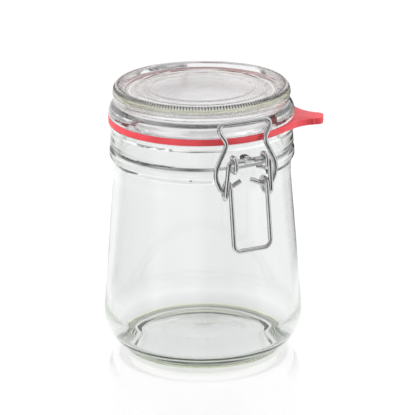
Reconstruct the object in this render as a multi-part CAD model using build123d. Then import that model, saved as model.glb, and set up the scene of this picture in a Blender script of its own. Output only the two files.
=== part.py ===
from build123d import *
import math
import os

# Bail clamp jar: a round glass jar whose glass lid is pressed on a rubber ring by a wire bail.
# Own frame, millimetres: origin at the centre of the foot, +Z up, the clasp faces -Y, the hinge +Y.
# Wire routes are written as (side, out, up): side along X, out from the jar's axis, up along Z.

# ---- driving dimensions: glass ----
FOOT_R = 45.8           # outer edge of the foot's face
FOOT_W = 4.6            # width of the ring that the jar stands on
BODY_R = 51.0           # body just below the neck bead
BEAD_R = 53.0           # neck bead
NECK_R = 52.5           # neck between bead and lip
LIP_R = 52.8            # lip of the jar
MOUTH_R = 47.4          # clear mouth
LAND_Z = 135.4          # sealing face of the jar
BASE_Z = 7.4            # jar's floor, at its corner
BEAD_LOW, BEAD_HIGH = 112.4, 122.2
BEAD_GAP_HALF = 17.0    # the bead stops this far from the middle plane, at clasp and hinge
LID_TOP_Z = 157.0       # top of the knurled rim
PANEL_Z = 154.4         # sunk panel of the lid
PLUG_Z = 134.3          # lowest edge of the lid, inside the mouth
PLUG_R = 46.5

# ---- driving dimensions: rubber ring ----
RING_R = 53.3
RING_BORE_R = 47.0
RING_T = 3.6
TAB_ANGLE = 58.1        # pull tab, from the clasp towards +X
TAB_TIP_R = 69.4
TAB_TIP_HALF = 5.0

# ---- driving dimensions: clasp and hinge ----
WIRE_D = 2.7            # bail, lever and hinge wire
BRACKET_D = 2.3         # bracket wires
BAR_OUT, BAR_Z = 52.8, 147.5            # bars that lie in the waist of the lid
PIVOT_OUT, PIVOT_Z = 59.15, 127.0       # pins of the lever and of the hinge wire
PIN_END = 3.2                           # the two pins of a pair point at each other and stop here
BRACKET_OUT, BRACKET_Z = 56.2, 126.4    # bracket bar, through the glass lug
EYE_SIDE = 9.6
EYE_OUT, EYE_TOP, EYE_BOTTOM = 62.0, 129.85, 121.4
LUG_HALF = 2.7
LUG_OUT = 58.9
LUG_H = 5.6
LUG_ROUND = 0.8
HOLE_PLAY = 0.1         # room round a wire in a glass lug

LID_LAND_Z = LAND_Z + RING_T


# ---- helpers ----
def profile(points, radii):
    """Rounded outline in the XZ plane from (radius, height) corners."""
    return FilletPolyline([(r, 0, z) for r, z in points], radius=radii)


def closing(first, second):
    """Straight edge from the end of one outline to the start of another."""
    return Line(first @ 1, second @ 0)


def revolved(*outline):
    """Solid of revolution from a closed chain of edges."""
    return revolve(make_face(outline), axis=Axis.Z)


def wire(route, radii, diameter=WIRE_D):
    """Round wire along straight runs joined by tangent bends."""
    path = FilletPolyline([(side, -out, up) for side, out, up in route], radius=radii)
    return sweep(Plane(origin=path @ 0, z_dir=path % 0) * Circle(diameter / 2), path=path)


def mirrored(route):
    """The other half of a symmetric route, in reverse order."""
    return [(-side, out, up) for side, out, up in reversed(route)]


def there_and_back(radii):
    return list(reversed(radii)) + radii


def half_turn(shape):
    """The same shape on the hinge side."""
    return Rot(0, 0, 180) * shape


def lug(root, out, z, half_width, height):
    """Pressed glass lug on the clasp side, rounded at its outer edges."""
    block = Pos(0, -(root + out) / 2, z) * Box(2 * half_width, out - root, height)
    return fillet(block.faces().sort_by(Axis.Y)[0].edges(), LUG_ROUND)


def cross_hole(out, z, diameter, half_width):
    """Hole along X through a lug, for a wire bar."""
    return Pos(0, -out, z) * Rot(0, 90, 0) * Cylinder(diameter / 2 + HOLE_PLAY, 4 * half_width)


# ---- glass jar ----
def glass_jar():
    outside = profile(
        [
            (FOOT_R - FOOT_W, 0), (FOOT_R, 0), (FOOT_R + 0.2, 1.8), (58.6, 8.8), (BODY_R, 103.0),
            (BODY_R, BEAD_LOW), (BEAD_R, 115.8), (BEAD_R, 119.2), (51.4, 121.2), (NECK_R, BEAD_HIGH + 0.8),
            (NECK_R - 0.5, 131.0), (LIP_R, 133.0), (LIP_R, LAND_Z), (50.0, LAND_Z),
        ],
        [0.9, 0.8, 22, 40, 1.2, 1.6, 1.4, 0.5, 0.4, 0.8, 0.8, 0.8],
    )
    inside = profile(
        [
            (50.0, LAND_Z), (MOUTH_R, LAND_Z), (MOUTH_R, 108.0), (54.2, 24.0), (51.3, BASE_Z),
            (0, BASE_Z - 0.8),
        ],
        [0.8, 60, 14, 7],
    )
    groove_r = FOOT_R - FOOT_W
    underside = profile([(0, 3.0), (groove_r - 5.0, 2.3), (groove_r - 1.2, 0), (groove_r, 0)], [4.0, 1.5])
    body = revolved(outside, inside, closing(inside, underside), underside)

    bead_height = BEAD_HIGH - BEAD_LOW
    bead_zone = Cylinder(LIP_R + 5, bead_height) - Cylinder(BODY_R, bead_height)
    bead_zone = Pos(0, 0, (BEAD_LOW + BEAD_HIGH) / 2) * bead_zone
    body -= bead_zone & Box(2 * BEAD_GAP_HALF, 3 * BODY_R, 4 * LAND_Z)

    front_lug = lug(BODY_R - 2, LUG_OUT, BRACKET_Z, LUG_HALF, LUG_H)
    hole = cross_hole(BRACKET_OUT, BRACKET_Z, BRACKET_D, LUG_HALF)
    body += front_lug
    body += half_turn(front_lug)
    return body - hole - half_turn(hole)


# ---- glass lid ----
def ring_on_panel(r):
    """Outline of a low raised ring round the panel, from outside to inside."""
    crown_half, foot_half, height = 0.6, 1.15, 0.6
    return [
        (r + foot_half, PANEL_Z), (r + crown_half, PANEL_Z + height),
        (r - crown_half, PANEL_Z + height), (r - foot_half, PANEL_Z),
    ]


def glass_lid():
    outside = profile(
        [
            (48.0, LID_LAND_Z), (53.1, LID_LAND_Z), (53.0, 142.6), (52.0, 145.2), (49.8, 147.8),
            (49.8, 148.8), (50.8, 152.0), (50.4, 154.8), (48.8, LID_TOP_Z), (47.4, LID_TOP_Z),
        ],
        [0.6, 3.0, 3.0, 1.4, 0.8, 0.8, 1.4, 0.6],
    )
    panel = profile(
        [
            (47.4, LID_TOP_Z), (43.2, PANEL_Z), *ring_on_panel(37.3), *ring_on_panel(29.6),
            (0, PANEL_Z - 0.4),
        ],
        [3.0] + 8 * [0.4],
    )
    underside = profile(
        [
            (0, 150.0), (36.0, 150.3), (43.4, 148.4), (43.0, PLUG_Z), (PLUG_R, PLUG_Z),
            (PLUG_R + 0.1, LID_LAND_Z), (48.0, LID_LAND_Z),
        ],
        [20, 5, 1.0, 1.0, 0.2],
    )
    body = revolved(outside, panel, closing(panel, underside), underside)
    hinge_lug_half = LUG_HALF + 1
    body += half_turn(lug(48.8, BAR_OUT + 2.7, BAR_Z - 0.4, hinge_lug_half, 5.2))
    return body - half_turn(cross_hole(BAR_OUT, BAR_Z, WIRE_D, hinge_lug_half))


# ---- rubber ring with its pull tab ----
def rubber_gasket():
    ring = Cylinder(RING_R, RING_T, align=(Align.CENTER, Align.CENTER, Align.MIN))
    root_angle = math.radians(33)
    flank = [
        (RING_R * math.cos(root_angle), RING_R * math.sin(root_angle)),
        (56.4, 11.2), (61.8, 7.6), (TAB_TIP_R, TAB_TIP_HALF),
    ]
    flank_radii = [20, 10, 3.6]
    outline = flank + [(r, -w) for r, w in reversed(flank)]
    edge = FilletPolyline(outline, radius=flank_radii + list(reversed(flank_radii)))
    tab = extrude(make_face(edge + Line(outline[-1], outline[0])), RING_T)
    grip_r = 0.5
    for r, w in ((61.7, 7.4), (64.1, 6.6)):
        tab += Pos(r, -w, RING_T / 2) * Cylinder(grip_r, RING_T)
    ring += Rot(0, 0, TAB_ANGLE - 90) * tab
    ring -= Cylinder(RING_BORE_R, 4 * RING_T)
    return Pos(0, 0, LAND_Z) * ring


# ---- clasp ----
def closure_bail():
    """Bail: bar in the waist of the lid, bowed legs, hooks whose ends point at each other."""
    leg = [
        (15.7, BAR_OUT, BAR_Z), (15.7, 53.9, BAR_Z - 4.0), (11.4, 54.9, 137.0), (20.0, 54.8, 120.0),
        (15.1, 55.2, 109.0), (3.4, 54.6, 114.3),
    ]
    return wire(mirrored(leg) + leg, there_and_back([2.6, 5, 5.5, 13, 2.8]))


def closing_lever():
    """Lever: pins in the bracket eyes, links, U-turns, crests over the bail's hooks, and the handle."""
    half = [
        (PIN_END, PIVOT_OUT, PIVOT_Z), (12.6, PIVOT_OUT, PIVOT_Z), (14.3, 57.95, 105.6),
        (12.5, 51.45, 105.6), (11.3, 51.75, 114.3), (11.3, 58.05, 114.3), (11.4, 63.0, 76.2),
    ]
    bends = [2.0, 2.7, 2.7, 2.7, 2.4, 4.0]
    return wire(half + mirrored(half), bends + list(reversed(bends)))


def bracket_wire():
    """Bracket: a bar through the glass lug with an oval eye at each end."""
    eye = [
        (EYE_SIDE, BRACKET_OUT, BRACKET_Z), (EYE_SIDE, BRACKET_OUT, EYE_TOP),
        (EYE_SIDE, EYE_OUT, EYE_TOP), (EYE_SIDE, EYE_OUT, EYE_BOTTOM),
        (EYE_SIDE, BRACKET_OUT, EYE_BOTTOM), (6.3, BRACKET_OUT, EYE_BOTTOM + 0.8),
    ]
    return wire(mirrored(eye) + eye, there_and_back([1.4, 1.5, 2.75, 2.75, 1.5]), BRACKET_D)


# ---- hinge ----
def hinge_wire():
    """Hinge: pins in the rear bracket's eyes, legs, and a bar through the lid's lug."""
    leg = [(15.6, BAR_OUT, BAR_Z), (13.8, PIVOT_OUT, PIVOT_Z), (PIN_END, PIVOT_OUT, PIVOT_Z)]
    return half_turn(wire(mirrored(leg) + leg, there_and_back([2.6, 2.0])))


os.makedirs("parts", exist_ok=True)
nodes = {
    "glass_jar": glass_jar(),
    "glass_lid": glass_lid(),
    "rubber_gasket": rubber_gasket(),
    "closure_bail": closure_bail(),
    "closing_lever": closing_lever(),
    "front_bracket_wire": bracket_wire(),
    "rear_bracket_wire": half_turn(bracket_wire()),
    "hinge_wire": hinge_wire(),
}
for name, shape in nodes.items():
    export_step(shape, f"parts/{name}.step")
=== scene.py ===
import bpy
import math
from mathutils import Matrix, Vector


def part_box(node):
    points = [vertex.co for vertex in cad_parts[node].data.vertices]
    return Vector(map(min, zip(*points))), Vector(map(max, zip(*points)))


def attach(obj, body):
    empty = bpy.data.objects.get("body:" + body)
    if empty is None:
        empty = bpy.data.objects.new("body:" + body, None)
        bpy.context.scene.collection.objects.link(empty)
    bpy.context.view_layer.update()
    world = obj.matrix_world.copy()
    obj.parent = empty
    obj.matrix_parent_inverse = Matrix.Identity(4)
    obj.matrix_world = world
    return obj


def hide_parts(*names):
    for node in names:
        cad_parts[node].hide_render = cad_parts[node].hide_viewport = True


# Looks for the bail clamp jar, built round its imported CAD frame. Outlines are in millimetres.

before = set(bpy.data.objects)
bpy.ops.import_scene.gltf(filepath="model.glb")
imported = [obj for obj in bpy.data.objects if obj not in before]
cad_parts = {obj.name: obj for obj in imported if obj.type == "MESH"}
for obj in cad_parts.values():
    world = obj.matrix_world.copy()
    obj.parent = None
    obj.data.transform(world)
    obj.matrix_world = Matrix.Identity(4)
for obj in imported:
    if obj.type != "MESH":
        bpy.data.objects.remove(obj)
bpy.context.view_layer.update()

MM = 0.001
SHARP_DEG = 50
ON_AXIS = 1e-6

# ---- places that come from the frame, then given wire sizes and places ----
JAR_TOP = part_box("glass_jar")[1].z / MM
RING_LOW, RING_HIGH = (c.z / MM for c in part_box("rubber_gasket"))
RING_R = -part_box("rubber_gasket")[0].x / MM
LID_LOW, LID_HIGH = (c.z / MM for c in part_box("glass_lid"))
LUG_OUT = -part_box("glass_jar")[0].y / MM
LID_LUG_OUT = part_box("glass_lid")[1].y / MM
WIRE_D = 2.7
BRACKET_D = 2.3
BRACKET_OUT, BRACKET_Z = 56.2, 126.4
BAR_OUT, BAR_Z = 52.8, 147.5
HOLE_PLAY = 0.1
LONGEST_RUN = 6


# ---- small mesh helpers ----
def rounded(points, radii, steps=5):
    """Corner points (radius, height) with the inner corners rounded by arcs."""
    out = [points[0]]
    for before, corner, after, radius in zip(points, points[1:], points[2:], radii):
        here = Vector(corner)
        back = (Vector(before) - here).normalized()
        ahead = (Vector(after) - here).normalized()
        half = back.angle(ahead) / 2
        centre = here + (back + ahead).normalized() * (radius / math.sin(half))
        start = here + back * (radius / math.tan(half))
        end = here + ahead * (radius / math.tan(half))
        first = start - centre
        turn = first.angle_signed(end - centre)
        count = max(2, math.ceil(abs(turn) * steps))
        for k in range(count + 1):
            spin = Matrix.Rotation(-turn * k / count, 2)
            point = centre + spin @ first
            out.append((point.x, point.y))
    out.append(points[-1])
    return out


def divided(points, longest):
    """The same outline with long runs cut into shorter ones."""
    out = []
    for a, b in zip(points, points[1:]):
        count = max(1, math.ceil(math.dist(a, b) / longest))
        for k in range(count):
            out.append((a[0] + (b[0] - a[0]) * k / count, a[1] + (b[1] - a[1]) * k / count))
    return out + [points[-1]]


def smooth(mesh):
    """Smooth shading, with edges kept where the surface turns sharply."""
    mesh.shade_smooth()
    mesh.set_sharp_from_angle(angle=math.radians(SHARP_DEG))


def apply_modifiers(piece):
    """Writes the piece's modifiers into its mesh."""
    graph = bpy.context.evaluated_depsgraph_get()
    made = bpy.data.meshes.new_from_object(piece.evaluated_get(graph))
    piece.modifiers.clear()
    piece.data = made
    smooth(made)


def new_object(name, vertices, faces):
    """Smooth-shaded mesh object from points in millimetres."""
    mesh = bpy.data.meshes.new(name)
    mesh.from_pydata([(x * MM, y * MM, z * MM) for x, y, z in vertices], [], faces)
    mesh.validate()
    smooth(mesh)
    piece = bpy.data.objects.new(name, mesh)
    bpy.context.scene.collection.objects.link(piece)
    return piece


def lathe(name, outline, turns, shape=None):
    """Solid of revolution whose outline starts and ends on the axis. shape(r, z, angle) may move a point."""
    vertices, rings = [], []
    for r, z in outline:
        if r < ON_AXIS:
            rings.append([len(vertices)] * turns)
            vertices.append((0.0, 0.0, z))
            continue
        rings.append(list(range(len(vertices), len(vertices) + turns)))
        for k in range(turns):
            angle = 2 * math.pi * k / turns
            rr, zz = shape(r, z, angle) if shape else (r, z)
            vertices.append((rr * math.cos(angle), rr * math.sin(angle), zz))
    faces = []
    for low, high in zip(rings, rings[1:]):
        for k in range(turns):
            n = (k + 1) % turns
            corners = [low[k], low[n], high[n], high[k]]
            faces.append([v for i, v in enumerate(corners) if v != corners[i - 1]])
    return new_object(name, vertices, faces)


def boolean(piece, tool, operation):
    """Joins or cuts with a helper solid, applies the result and deletes the helper."""
    step = piece.modifiers.new("join", "BOOLEAN")
    step.operation = operation
    step.object = tool
    step.solver = "EXACT"
    apply_modifiers(piece)
    bpy.data.objects.remove(tool)


def pillow_block(name, centre, size, power=7, turns=40):
    """Rounded block from a superellipsoid, as pressed glass has no sharp edges."""
    vertices = []
    rows = turns // 2
    for j in range(1, rows):
        v = math.pi * j / rows - math.pi / 2
        for k in range(turns):
            u = 2 * math.pi * k / turns
            d = Vector((math.cos(v) * math.cos(u), math.cos(v) * math.sin(u), math.sin(v)))
            reach = sum(abs(c) ** power for c in d) ** (-1 / power)
            vertices.append([centre[i] + size[i] / 2 * reach * d[i] for i in range(3)])
    faces = []
    for j in range(rows - 2):
        for k in range(turns):
            n = (k + 1) % turns
            faces.append([j * turns + k, j * turns + n, (j + 1) * turns + n, (j + 1) * turns + k])
    vertices += [
        [centre[0], centre[1], centre[2] - size[2] / 2],
        [centre[0], centre[1], centre[2] + size[2] / 2],
    ]
    top_row = (rows - 2) * turns
    for k in range(turns):
        n = (k + 1) % turns
        faces.append([n, k, len(vertices) - 2])
        faces.append([top_row + k, top_row + n, len(vertices) - 1])
    return new_object(name, vertices, faces)


def rod(name, centre, radius, length, turns=32):
    """Closed rod along X."""
    vertices, faces = [], []
    for side in (-1, 1):
        for k in range(turns):
            a = 2 * math.pi * k / turns
            end = centre[0] + side * length / 2
            vertices.append((end, centre[1] + radius * math.cos(a), centre[2] + radius * math.sin(a)))
    for k in range(turns):
        n = (k + 1) % turns
        faces.append([k, n, turns + n, turns + k])
    faces.append(list(reversed(range(turns))))
    faces.append(list(range(turns, 2 * turns)))
    return new_object(name, vertices, faces)


# ---- materials ----
def material(name):
    made = bpy.data.materials.new(name)
    made.use_nodes = True
    nodes, links = made.node_tree.nodes, made.node_tree.links
    return made, nodes, links, nodes["Principled BSDF"]


def bump_from(nodes, links, shader, height, strength, distance):
    bump = nodes.new("ShaderNodeBump")
    bump.inputs["Strength"].default_value = strength
    bump.inputs["Distance"].default_value = distance
    links.new(height, bump.inputs["Height"])
    links.new(bump.outputs["Normal"], shader.inputs["Normal"])


def noise(nodes, links, scale, detail, stretch=(1, 1, 1)):
    """Object-space noise, with its own scale on each axis."""
    place = nodes.new("ShaderNodeTexCoord")
    mapping = nodes.new("ShaderNodeMapping")
    mapping.inputs["Scale"].default_value = stretch
    texture = nodes.new("ShaderNodeTexNoise")
    texture.inputs["Scale"].default_value = scale
    texture.inputs["Detail"].default_value = detail
    links.new(place.outputs["Object"], mapping.inputs["Vector"])
    links.new(mapping.outputs["Vector"], texture.inputs["Vector"])
    return texture.outputs["Fac"]


def ramp(nodes, links, value, stops):
    made = nodes.new("ShaderNodeValToRGB")
    elements = made.color_ramp.elements
    while len(elements) < len(stops):
        elements.new(0.5)
    for element, (place, colour) in zip(elements, stops):
        element.position = place
        element.color = (*colour, 1)
    links.new(value, made.inputs["Fac"])
    return made.outputs["Color"]


def map_range(nodes, links, value, low, high, start, end):
    made = nodes.new("ShaderNodeMapRange")
    made.inputs["From Min"].default_value = low
    made.inputs["From Max"].default_value = high
    made.inputs["To Min"].default_value = start
    made.inputs["To Max"].default_value = end
    links.new(value, made.inputs["Value"])
    return made.outputs["Result"]


def arithmetic(nodes, links, operation, *values):
    """One maths node; each value is a socket or a number."""
    made = nodes.new("ShaderNodeMath")
    made.operation = operation
    for socket, value in zip(made.inputs, values):
        if isinstance(value, (int, float)):
            socket.default_value = value
        else:
            links.new(value, socket)
    return made.outputs[0]


def times(nodes, links, *values):
    """Product of two or more sockets, the last two first."""
    product = values[-1]
    for value in reversed(values[:-1]):
        product = arithmetic(nodes, links, "MULTIPLY", value, product)
    return product


def band(nodes, links, value, limits, soft):
    """1 between the limits and 0 outside them, with a soft edge."""
    low, high = limits
    return times(
        nodes, links,
        map_range(nodes, links, value, low - soft, low + soft, 0.0, 1.0),
        map_range(nodes, links, value, high - soft, high + soft, 1.0, 0.0),
    )


def blend(nodes, links, factor, first, second):
    """Colour mix; first is a socket and second a colour."""
    made = nodes.new("ShaderNodeMix")
    made.data_type = "RGBA"
    links.new(factor, made.inputs["Factor"])
    links.new(first, made.inputs["A"])
    made.inputs["B"].default_value = (*second, 1)
    return made.outputs["Result"]


def comb(nodes, links, count):
    """Wave that runs count times round the axis."""
    place = nodes.new("ShaderNodeTexCoord")
    across = nodes.new("ShaderNodeSeparateXYZ")
    links.new(place.outputs["Object"], across.inputs["Vector"])
    angle = arithmetic(nodes, links, "ARCTAN2", across.outputs["Y"], across.outputs["X"])
    turns = arithmetic(nodes, links, "MULTIPLY", angle, count)
    return arithmetic(nodes, links, "COSINE", turns)


def radius_and_height(nodes, links):
    """Distance from the axis and height, in metres."""
    place = nodes.new("ShaderNodeTexCoord")
    split = nodes.new("ShaderNodeSeparateXYZ")
    links.new(place.outputs["Object"], split.inputs["Vector"])
    flat = nodes.new("ShaderNodeVectorMath")
    flat.operation = "MULTIPLY"
    flat.inputs[1].default_value = (1, 1, 0)
    links.new(place.outputs["Object"], flat.inputs[0])
    reach = nodes.new("ShaderNodeVectorMath")
    reach.operation = "LENGTH"
    links.new(flat.outputs["Vector"], reach.inputs[0])
    return reach.outputs["Value"], split.outputs["Z"]


GLASS_IOR = 1.51
GLASS_COLOUR = (0.953, 0.960, 0.950)
GREEN_EDGE = (0.89, 0.955, 0.64)
# Colour of the painted shade: dark lines, faint dark streaks and knurl grooves are blended towards it.
PAINTED_SHADE_COLOUR = (0.004, 0.004, 0.005)
LINE_FROM_R = (0.0490, 0.0496)
STREAKS_FROM_R = (0.0515, 0.0520)
WAVE_BUMP, WAVE_HEIGHT = 0.12, 0.0012
MARK_HALF, MARK_SOFT, MARK_RISE = 0.00095, 0.00015, 3.0
GREEN_SOFT = 0.0008
LINE_SOFT = 0.0003
TEETH_SOFT = 0.0002
HAZE_SOFT = 0.002


def with_marks(nodes, links, wave, radius, height, marks):
    """Adds a ring of short raised dashes to the height of the underside."""
    ring_r, count, below = marks
    dashes = map_range(nodes, links, comb(nodes, links, count), 0.2, 0.5, 0.0, 1.0)
    ring = band(nodes, links, radius, (ring_r - MARK_HALF, ring_r + MARK_HALF), MARK_SOFT)
    low = map_range(nodes, links, height, below, below + 0.0002, 1.0, 0.0)
    here = times(nodes, links, dashes, ring, low)
    return arithmetic(nodes, links, "MULTIPLY_ADD", here, MARK_RISE, wave)


def pressed_glass(
    name, tones, flow, density, green_r, green_z, painted_line_z, teeth, teeth_r, teeth_z,
    hazy=None, marks=None, streaks=None,
):
    """Pressed glass, slightly wavy, with a yellow-green edge, and with painted shade: the dark lines that
    thick corners show are painted into its colour, as are darkened knurl grooves.

    Lengths are in metres. hazy is (radius, height, roughness) of a part left rough, marks is
    (radius, count, height) of the dashes under the base, streaks is a band of faint dark streaks painted in
    as shade.
    """
    made, nodes, links, shader = material(name)
    shader.inputs["Transmission Weight"].default_value = 1.0
    shader.inputs["IOR"].default_value = GLASS_IOR
    shader.inputs["Roughness"].default_value = 0.0
    radius, height = radius_and_height(nodes, links)
    wave = noise(nodes, links, 38, 2, flow)
    clear = ramp(nodes, links, wave, [(0.3, tones[0]), (0.7, tones[1])])
    green = times(
        nodes, links,
        map_range(nodes, links, radius, green_r - GREEN_SOFT, green_r + GREEN_SOFT, 0.0, 1.0),
        band(nodes, links, height, green_z, GREEN_SOFT),
    )
    tint = blend(nodes, links, green, clear, GREEN_EDGE)
    # Painted shade: a dark line painted into the colour in a thin height band at the outer surface.
    line = times(
        nodes, links,
        map_range(nodes, links, radius, *LINE_FROM_R, 0.0, 1.0),
        band(nodes, links, height, painted_line_z, LINE_SOFT),
    )
    dark = times(nodes, links, line, map_range(nodes, links, wave, 0.35, 0.6, 0.72, 0.97))
    # Painted shade: faint dark streaks painted into the colour in a height band on the outer wall.
    if streaks:
        faint = times(
            nodes, links,
            map_range(nodes, links, wave, 0.44, 0.60, 0.0, 0.5),
            band(nodes, links, height, streaks, LINE_SOFT),
        )
        outer = map_range(nodes, links, radius, *STREAKS_FROM_R, 0.0, 1.0)
        dark = arithmetic(nodes, links, "MAXIMUM", dark, times(nodes, links, faint, outer))
    # Painted shade: the knurl's grooves are darkened in colour, in step with the teeth.
    shade = times(
        nodes, links,
        map_range(nodes, links, comb(nodes, links, teeth), -0.2, 0.3, 0.0, 1.0),
        band(nodes, links, radius, teeth_r, TEETH_SOFT),
        band(nodes, links, height, teeth_z, TEETH_SOFT),
    )
    dark = arithmetic(nodes, links, "MAXIMUM", dark, shade)
    # Blends the painted shade into the glass colour.
    links.new(blend(nodes, links, dark, tint, PAINTED_SHADE_COLOUR), shader.inputs["Base Color"])
    if hazy:
        haze = times(
            nodes, links,
            map_range(nodes, links, radius, hazy[0] - HAZE_SOFT, hazy[0] + HAZE_SOFT, 1.0, 0.0),
            map_range(nodes, links, height, hazy[1] - GREEN_SOFT, hazy[1] + GREEN_SOFT, 1.0, 0.0),
        )
        links.new(map_range(nodes, links, haze, 0.0, 1.0, 0.0, hazy[2]), shader.inputs["Roughness"])
    if marks:
        wave = with_marks(nodes, links, wave, radius, height, marks)
    bump_from(nodes, links, shader, wave, WAVE_BUMP, WAVE_HEIGHT)
    volume = nodes.new("ShaderNodeVolumeAbsorption")
    volume.inputs["Color"].default_value = (*GLASS_COLOUR, 1)
    volume.inputs["Density"].default_value = density
    links.new(volume.outputs["Volume"], nodes["Material Output"].inputs["Volume"])
    return made


def red_rubber():
    """Matte red rubber, cloudy and finely grained."""
    made, nodes, links, shader = material("red_rubber")
    grain = noise(nodes, links, 900, 5)
    cloud = noise(nodes, links, 60, 3)
    colours = [(0.35, (0.74, 0.055, 0.07)), (0.65, (0.86, 0.08, 0.10))]
    links.new(ramp(nodes, links, cloud, colours), shader.inputs["Base Color"])
    rough = ramp(nodes, links, grain, [(0.3, (0.38,) * 3), (0.7, (0.58,) * 3)])
    links.new(rough, shader.inputs["Roughness"])
    shader.inputs["Subsurface Weight"].default_value = 0.15
    shader.inputs["Subsurface Radius"].default_value = (0.003, 0.0008, 0.0006)
    bump_from(nodes, links, shader, grain, 0.25, 0.0002)
    return made


def steel_wire():
    """Bright drawn wire, uneven in tone and polish."""
    made, nodes, links, shader = material("steel_wire")
    shader.inputs["Metallic"].default_value = 1.0
    drawn = noise(nodes, links, 500, 4)
    cloud = noise(nodes, links, 90, 3)
    tones = [(0.3, (0.60, 0.60, 0.61)), (0.7, (0.74, 0.74, 0.75))]
    links.new(ramp(nodes, links, cloud, tones), shader.inputs["Base Color"])
    rough = ramp(nodes, links, drawn, [(0.3, (0.16,) * 3), (0.75, (0.30,) * 3)])
    links.new(rough, shader.inputs["Roughness"])
    bump_from(nodes, links, shader, drawn, 0.15, 0.00015)
    return made


# ---- glass jar ----
FOOT_R, FOOT_W = 45.8, 4.6
BODY_R = 51.0
BEAD_R = 53.0
NECK_R = 52.5
LIP_R = 52.8
MOUTH_R = 47.4
BASE_Z = 7.4
BEAD_LOW, BEAD_HIGH = 112.4, 122.2
BEAD_GAP_HALF, BEAD_GAP_FADE = 17.0, 1.2
FOOT_TEETH = 200
FOOT_TEETH_TOP, FOOT_TEETH_RISE = 2.4, 0.4
FOOT_TEETH_IN, FOOT_TEETH_OUT, FOOT_TEETH_FADE = 2.2, 4, 0.8
JAR_LUG_WIDTH, JAR_LUG_HEIGHT = 4.8, 4.6


def jar_outline():
    inside = rounded(
        [
            (0, BASE_Z - 0.8), (51.3, BASE_Z), (54.2, 24.0), (MOUTH_R, 108.0), (MOUTH_R, JAR_TOP),
            (50.0, JAR_TOP),
        ],
        [7, 14, 60, 0.8], 7,
    )
    outside = rounded(
        [
            (50.0, JAR_TOP), (LIP_R, JAR_TOP), (LIP_R, 133.0), (NECK_R - 0.5, 131.0),
            (NECK_R, BEAD_HIGH + 0.8), (51.4, 121.2), (BEAD_R, 119.2), (BEAD_R, 115.8),
            (BODY_R, BEAD_LOW), (BODY_R, 103.0),
            (58.6, 8.8), (FOOT_R + 0.2, 1.8), (FOOT_R, 0), (FOOT_R - FOOT_W, 0),
        ],
        [0.8, 0.8, 0.8, 0.4, 0.5, 1.4, 1.6, 1.2, 40, 22, 0.8, 0.9], 9,
    )
    groove_r = FOOT_R - FOOT_W
    underside = rounded([(groove_r, 0), (groove_r - 1.2, 0), (groove_r - 5.0, 2.3), (0, 3.0)], [1.5, 4.0])
    return divided(inside + outside[1:] + underside[1:], LONGEST_RUN)


def jar_shape(r, z, angle):
    """Stops the neck bead at clasp and hinge, and knurls the foot."""
    if BEAD_LOW < z < BEAD_HIGH and r > BODY_R:
        side = abs(r * math.cos(angle))
        edge = min(1, max(0, (side - BEAD_GAP_HALF + BEAD_GAP_FADE) / (2 * BEAD_GAP_FADE)))
        r = BODY_R + (r - BODY_R) * edge * edge * (3 - 2 * edge)
    if z < FOOT_TEETH_TOP and FOOT_R - FOOT_TEETH_IN < r < FOOT_R + FOOT_TEETH_OUT:
        tooth = 0.5 + 0.5 * math.cos(angle * FOOT_TEETH)
        fade = min(1, (r - FOOT_R + FOOT_TEETH_IN) / FOOT_TEETH_FADE)
        z += FOOT_TEETH_RISE * tooth * (1 - z / FOOT_TEETH_TOP) * fade
    return r, z


def make_jar():
    jar = lathe("jar_glass_body", jar_outline(), 4 * FOOT_TEETH, jar_shape)
    root = BODY_R - 2
    for side in (-1, 1):
        centre = (0, side * (LUG_OUT + root) / 2, BRACKET_Z)
        size = (JAR_LUG_WIDTH, LUG_OUT - root, JAR_LUG_HEIGHT)
        boolean(jar, pillow_block("lug", centre, size, 4), "UNION")
        hole = rod("hole", (0, side * BRACKET_OUT, BRACKET_Z), BRACKET_D / 2 + HOLE_PLAY, 12)
        boolean(jar, hole, "DIFFERENCE")
    jar.data.materials.clear()
    # The jar glass has painted shade: a dark line above the neck bead and darkened knurl grooves at the
    # foot.
    jar.data.materials.append(pressed_glass(
        "jar_clear_glass", tones=((0.935, 0.938, 0.945), (0.958, 0.961, 0.968)),
        flow=(1, 1, 0.45), density=270,
        green_r=0.0425, green_z=(-0.002, 0.0030), painted_line_z=(0.1202, 0.1222),
        teeth=FOOT_TEETH, teeth_r=(0.0418, 0.0453), teeth_z=(-0.001, 0.0007), marks=(0.0240, 26, 0.0045),
    ))
    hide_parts("glass_jar")
    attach(jar, "jar")


# ---- glass lid ----
PANEL_Z = 154.4
PLUG_R = 46.5
LID_TEETH = 180
LID_TEETH_FROM_Z, LID_TEETH_FROM_R = 154.9, 47.1
LID_TEETH_IN, LID_TEETH_DOWN = 0.75, 0.7
RIM_R = 47.4
LAND_IN_R = 48.0
LID_LUG_ROOT, LID_LUG_WIDTH, LID_LUG_HEIGHT, LID_LUG_DROP = 48.8, 7.4, 5.2, 0.4


def ring_on_panel(r):
    """Low raised ring round the panel, from inside to outside."""
    crown_half, foot_half, height = 0.6, 1.15, 0.6
    return [
        (r - foot_half, PANEL_Z), (r - crown_half, PANEL_Z + height),
        (r + crown_half, PANEL_Z + height), (r + foot_half, PANEL_Z),
    ]


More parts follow.
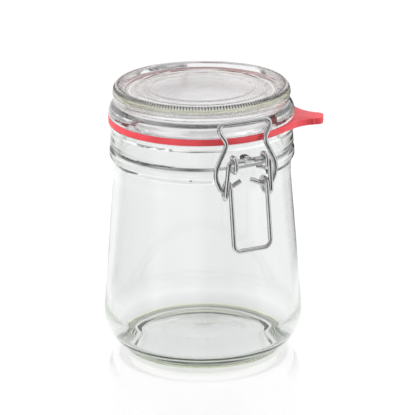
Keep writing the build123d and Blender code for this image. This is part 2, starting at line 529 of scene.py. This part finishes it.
def lid_outline():
    top, land = LID_HIGH, RING_HIGH
    underside = rounded(
        [
            (0, 150.0), (36.0, 150.3), (43.4, 148.4), (43.0, LID_LOW), (PLUG_R, LID_LOW),
            (PLUG_R + 0.1, land), (LAND_IN_R, land),
        ],
        [20, 5, 1.0, 1.0, 0.2], 7,
    )
    outside = rounded(
        [
            (LAND_IN_R, land), (53.1, land), (53.0, 142.6), (52.0, 145.2), (49.8, 147.8),
            (49.8, 148.8), (50.8, 152.0), (50.4, 154.8), (48.8, top), (RIM_R, top),
        ],
        [0.6, 3.0, 3.0, 1.4, 0.8, 0.8, 1.4, 0.6], 8,
    )
    panel = rounded(
        [(0, PANEL_Z - 0.4), *ring_on_panel(29.6), *ring_on_panel(37.3), (43.2, PANEL_Z), (RIM_R, top)],
        8 * [0.4] + [3.0],
    )
    return divided(underside + outside[1:] + panel[-2::-1], LONGEST_RUN)


def lid_shape(r, z, angle):
    """Knurls the outer edge of the rim's top."""
    if z > LID_TEETH_FROM_Z and r > LID_TEETH_FROM_R:
        tooth = 0.5 + 0.5 * math.cos(angle * LID_TEETH)
        notch = tooth * min(1, (z - LID_TEETH_FROM_Z) / 0.7) * min(1, (r - LID_TEETH_FROM_R) / 0.4)
        r -= LID_TEETH_IN * notch
        z -= LID_TEETH_DOWN * notch
    return r, z


def make_lid():
    lid = lathe("lid_glass_body", lid_outline(), 4 * LID_TEETH, lid_shape)
    centre = (0, (LID_LUG_OUT + LID_LUG_ROOT) / 2, BAR_Z - LID_LUG_DROP)
    size = (LID_LUG_WIDTH, LID_LUG_OUT - LID_LUG_ROOT, LID_LUG_HEIGHT)
    boolean(lid, pillow_block("lug", centre, size), "UNION")
    boolean(lid, rod("hole", (0, BAR_OUT, BAR_Z), WIRE_D / 2 + HOLE_PLAY, 14), "DIFFERENCE")
    lid.data.materials.clear()
    # The lid glass has painted shade: a dark line at the waist, faint dark streaks below it and darkened
    # knurl grooves on the rim.
    lid.data.materials.append(pressed_glass(
        "lid_clear_glass", tones=((0.93, 0.915, 0.93), (0.99, 0.983, 0.99)), flow=(1, 1, 8), density=18,
        green_r=0.0484, green_z=(0.1530, 0.1556), painted_line_z=(0.1450, 0.1473),
        teeth=LID_TEETH, teeth_r=(0.0474, 0.0506), teeth_z=(0.1549, 0.1573),
        hazy=(0.041, 0.1520, 0.22), streaks=(0.1366, 0.1442),
    ))
    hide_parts("glass_lid")
    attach(lid, "lid")


# ---- rubber ring ----
TAB_ANGLE = math.radians(58.1 - 90)
TAB_ROOT = math.radians(33)
RING_BORE_R = 47.0
TAB_TIP_R = 69.4
AIR_GAP = 0.02
RING_MIDDLE_R = 51.4
ARC_STEPS = 220


def ring_edge():
    """Outer edge of the tab, anticlockwise from its root, pointing along +X before it is turned."""
    root = (RING_R * math.cos(TAB_ROOT), RING_R * math.sin(TAB_ROOT))
    tip = rounded([root, (56.4, 11.2), (61.8, 7.6), (TAB_TIP_R, 5.0), (TAB_TIP_R, 0)], [20, 10, 3.6], 9)
    lower = [(r, -w) for r, w in reversed(tip[:-1])]
    before = [p for p in lower if p[0] > 65.0]
    after = [p for p in lower if p[0] < 61.0]
    grips = [
        (64.8, -6.35), (64.5, -6.95), (63.9, -7.1), (63.5, -6.85), (63.0, -6.9),
        (62.3, -7.15), (62.1, -7.75), (61.5, -7.9), (61.2, -7.9),
    ]
    return tip + before + grips + after[:-1]


def make_gasket():
    """Flat ring with its tab, a hair clear of the glass on both faces, as dry rubber lies."""
    start, end = TAB_ROOT, 2 * math.pi - TAB_ROOT
    angles = [end + (start - end) * k / ARC_STEPS for k in range(ARC_STEPS)]
    arc = [(RING_R * math.cos(a), RING_R * math.sin(a)) for a in angles]
    edge = divided(ring_edge(), 1.0)[:-1] + arc
    turned = Matrix.Rotation(TAB_ANGLE, 2)
    outer = [turned @ Vector(p) for p in edge]
    inner = [p.normalized() * RING_BORE_R for p in outer]
    middle = [p.normalized() * RING_MIDDLE_R for p in outer]
    n = len(outer)
    rows = [inner, middle, outer]
    vertices = [(p.x, p.y, RING_LOW + AIR_GAP) for row in rows for p in row]
    vertices += [(p.x, p.y, RING_HIGH - AIR_GAP) for row in rows for p in row]
    faces = []
    for k in range(n):
        m = (k + 1) % n
        for j in range(2):
            faces.append([j * n + k, j * n + m, (j + 1) * n + m, (j + 1) * n + k])
            faces.append([(j + 3) * n + m, (j + 3) * n + k, (j + 4) * n + k, (j + 4) * n + m])
        faces.append([2 * n + k, 2 * n + m, 5 * n + m, 5 * n + k])
        faces.append([m, k, 3 * n + k, 3 * n + m])
    gasket = new_object("gasket_body", vertices, faces)
    bevel = gasket.modifiers.new("soft_edges", "BEVEL")
    bevel.width = 0.45 * MM
    bevel.segments = 3
    bevel.limit_method = "ANGLE"
    bevel.angle_limit = math.radians(60)
    apply_modifiers(gasket)
    gasket.data.materials.clear()
    gasket.data.materials.append(red_rubber())
    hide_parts("rubber_gasket")
    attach(gasket, "lid")


# ---- floor, light and camera ----
CLASP_AZIMUTH = math.radians(26.4)
CAMERA_ELEVATION = 0.322
CAMERA_ROLL = 0.007
CAMERA_DISTANCE = 1.5
CAMERA_AIM = (0.00297, 0.08211)     # right of the axis and above the floor
CAMERA_LENS = 225.3
SENSOR_WIDTH = 36
FLOOR_HALF = 6.0
FLAG_DEPTH = 0.0005
FLAG_TURN = 26.4
FLAG_COUNT = 3
OPENING_ELEVATION = math.radians(38)
OPENING_HALF = math.radians(52)
OPENING_SOFT = 0.04
LIGHT_AIM_Z = 0.08


def make_camera():
    turn = Matrix.Rotation(-CLASP_AZIMUTH, 3, "Z")
    right = turn @ Vector((1, 0, 0))
    ahead = turn @ Vector((0, math.cos(CAMERA_ELEVATION), -math.sin(CAMERA_ELEVATION)))
    up = right.cross(ahead)
    aim = turn @ Vector((CAMERA_AIM[0], 0, CAMERA_AIM[1]))
    x_axis = right * math.cos(CAMERA_ROLL) - up * math.sin(CAMERA_ROLL)
    y_axis = right * math.sin(CAMERA_ROLL) + up * math.cos(CAMERA_ROLL)
    data = bpy.data.cameras.new("camera")
    data.lens = CAMERA_LENS
    data.sensor_width = SENSOR_WIDTH
    camera = bpy.data.objects.new("camera", data)
    bpy.context.scene.collection.objects.link(camera)
    place = Matrix((x_axis, y_axis, -ahead)).transposed().to_4x4()
    place.translation = aim - ahead * CAMERA_DISTANCE
    camera.matrix_world = place
    bpy.context.scene.camera = camera


def sheet_on_floor(name, z, made):
    """Square sheet at a height, kept out of the model."""
    half = FLOOR_HALF
    mesh = bpy.data.meshes.new(name)
    corners = [(-half, -half, z), (half, -half, z), (half, half, z), (-half, half, z)]
    mesh.from_pydata(corners, [], [(0, 1, 2, 3)])
    sheet = bpy.data.objects.new(name, mesh)
    bpy.context.scene.collection.objects.link(sheet)
    sheet.data.materials.append(made)
    return sheet


def make_floor():
    """White gloss floor. A second sheet with dark flags stands in for it in mirrored views."""
    made, nodes, links, shader = material("floor_white")
    shader.inputs["Base Color"].default_value = (0.06, 0.06, 0.06, 1)
    shader.inputs["Roughness"].default_value = 0.03
    shader.inputs["IOR"].default_value = 2.6
    shader.inputs["Emission Color"].default_value = (1, 1, 1, 1)
    shader.inputs["Emission Strength"].default_value = 0.71
    floor = sheet_on_floor("floor", 0, made)
    floor.visible_glossy = False

    flags, nodes, links, shader = material("floor_flags")
    nodes.remove(shader)
    glow = nodes.new("ShaderNodeEmission")
    links.new(glow.outputs["Emission"], nodes["Material Output"].inputs["Surface"])
    place = nodes.new("ShaderNodeTexCoord")
    turn = nodes.new("ShaderNodeMapping")
    turn.inputs["Rotation"].default_value = (0, 0, math.radians(FLAG_TURN))
    links.new(place.outputs["Object"], turn.inputs["Vector"])
    sectors = nodes.new("ShaderNodeTexGradient")
    sectors.gradient_type = "RADIAL"
    links.new(turn.outputs["Vector"], sectors.inputs["Vector"])
    repeat = arithmetic(nodes, links, "PINGPONG", sectors.outputs["Fac"], 0.5 / FLAG_COUNT)
    widen = arithmetic(nodes, links, "MULTIPLY", repeat, 2 * FLAG_COUNT)
    by_angle = ramp(nodes, links, widen, [(0.40, (0.0,) * 3), (0.62, (1.0,) * 3)])
    reach = nodes.new("ShaderNodeVectorMath")
    reach.operation = "LENGTH"
    links.new(place.outputs["Object"], reach.inputs[0])
    by_reach = ramp(nodes, links, reach.outputs["Value"], [(0.15, (1.0,) * 3), (0.21, (0.0,) * 3)])
    light = arithmetic(nodes, links, "MAXIMUM", by_angle, by_reach)
    tone = ramp(nodes, links, light, [(0.0, (0.05,) * 3), (1.0, (1.0,) * 3)])
    links.new(tone, glow.inputs["Color"])
    mirror = sheet_on_floor("floor_in_mirrors", -FLAG_DEPTH, flags)
    mirror.visible_camera = False
    mirror.visible_diffuse = False
    mirror.visible_transmission = False
    mirror.visible_shadow = False


def make_world():
    """White tent with a dark opening on the camera's side."""
    world = bpy.data.worlds.new("studio")
    bpy.context.scene.world = world
    world.use_nodes = True
    nodes, links = world.node_tree.nodes, world.node_tree.links
    place = nodes.new("ShaderNodeTexCoord")
    toward = nodes.new("ShaderNodeVectorMath")
    toward.operation = "DOT_PRODUCT"
    level = math.cos(OPENING_ELEVATION)
    toward.inputs[1].default_value = (
        -math.sin(CLASP_AZIMUTH) * level, -math.cos(CLASP_AZIMUTH) * level, math.sin(OPENING_ELEVATION),
    )
    links.new(place.outputs["Generated"], toward.inputs[0])
    edge = math.cos(OPENING_HALF)
    sky = ramp(
        nodes, links, toward.outputs["Value"],
        [
            (0.0, (1.0,) * 3), (edge - OPENING_SOFT, (1.0,) * 3),
            (edge + OPENING_SOFT, (0.38,) * 3), (1.0, (0.32,) * 3),
        ],
    )
    links.new(sky, nodes["Background"].inputs["Color"])
    nodes["Background"].inputs["Strength"].default_value = 1.0


def soft_box(name, azimuth, elevation, distance, size, power):
    """Large area light aimed at the jar."""
    data = bpy.data.lights.new(name, "AREA")
    data.shape = "RECTANGLE"
    data.size, data.size_y = size
    data.energy = power
    lamp = bpy.data.objects.new(name, data)
    bpy.context.scene.collection.objects.link(lamp)
    a, e = math.radians(azimuth), math.radians(elevation)
    away = Vector((math.sin(a) * math.cos(e), -math.cos(a) * math.cos(e), math.sin(e)))
    lamp.location = Vector((0, 0, LIGHT_AIM_Z)) + away * distance
    lamp.rotation_euler = away.to_track_quat("Z", "Y").to_euler()
    lamp.visible_camera = False
    lamp.visible_glossy = False
    lamp.visible_transmission = False


make_camera()
make_floor()
make_world()
soft_box("key_left", -100, 42, 1.2, (0.5, 0.8), 10)
soft_box("fill_right", 50, 42, 1.3, (0.4, 0.8), 7)
make_jar()
make_lid()

steel = steel_wire()
for node in ("closure_bail", "closing_lever", "front_bracket_wire", "rear_bracket_wire", "hinge_wire"):
    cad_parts[node].data.materials.clear()
    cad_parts[node].data.materials.append(steel)
make_gasket()

bpy.context.scene.view_settings.view_transform = "Standard"
cycles = bpy.context.scene.cycles
cycles.max_bounces = 32
cycles.transmission_bounces = 32
cycles.glossy_bounces = 12
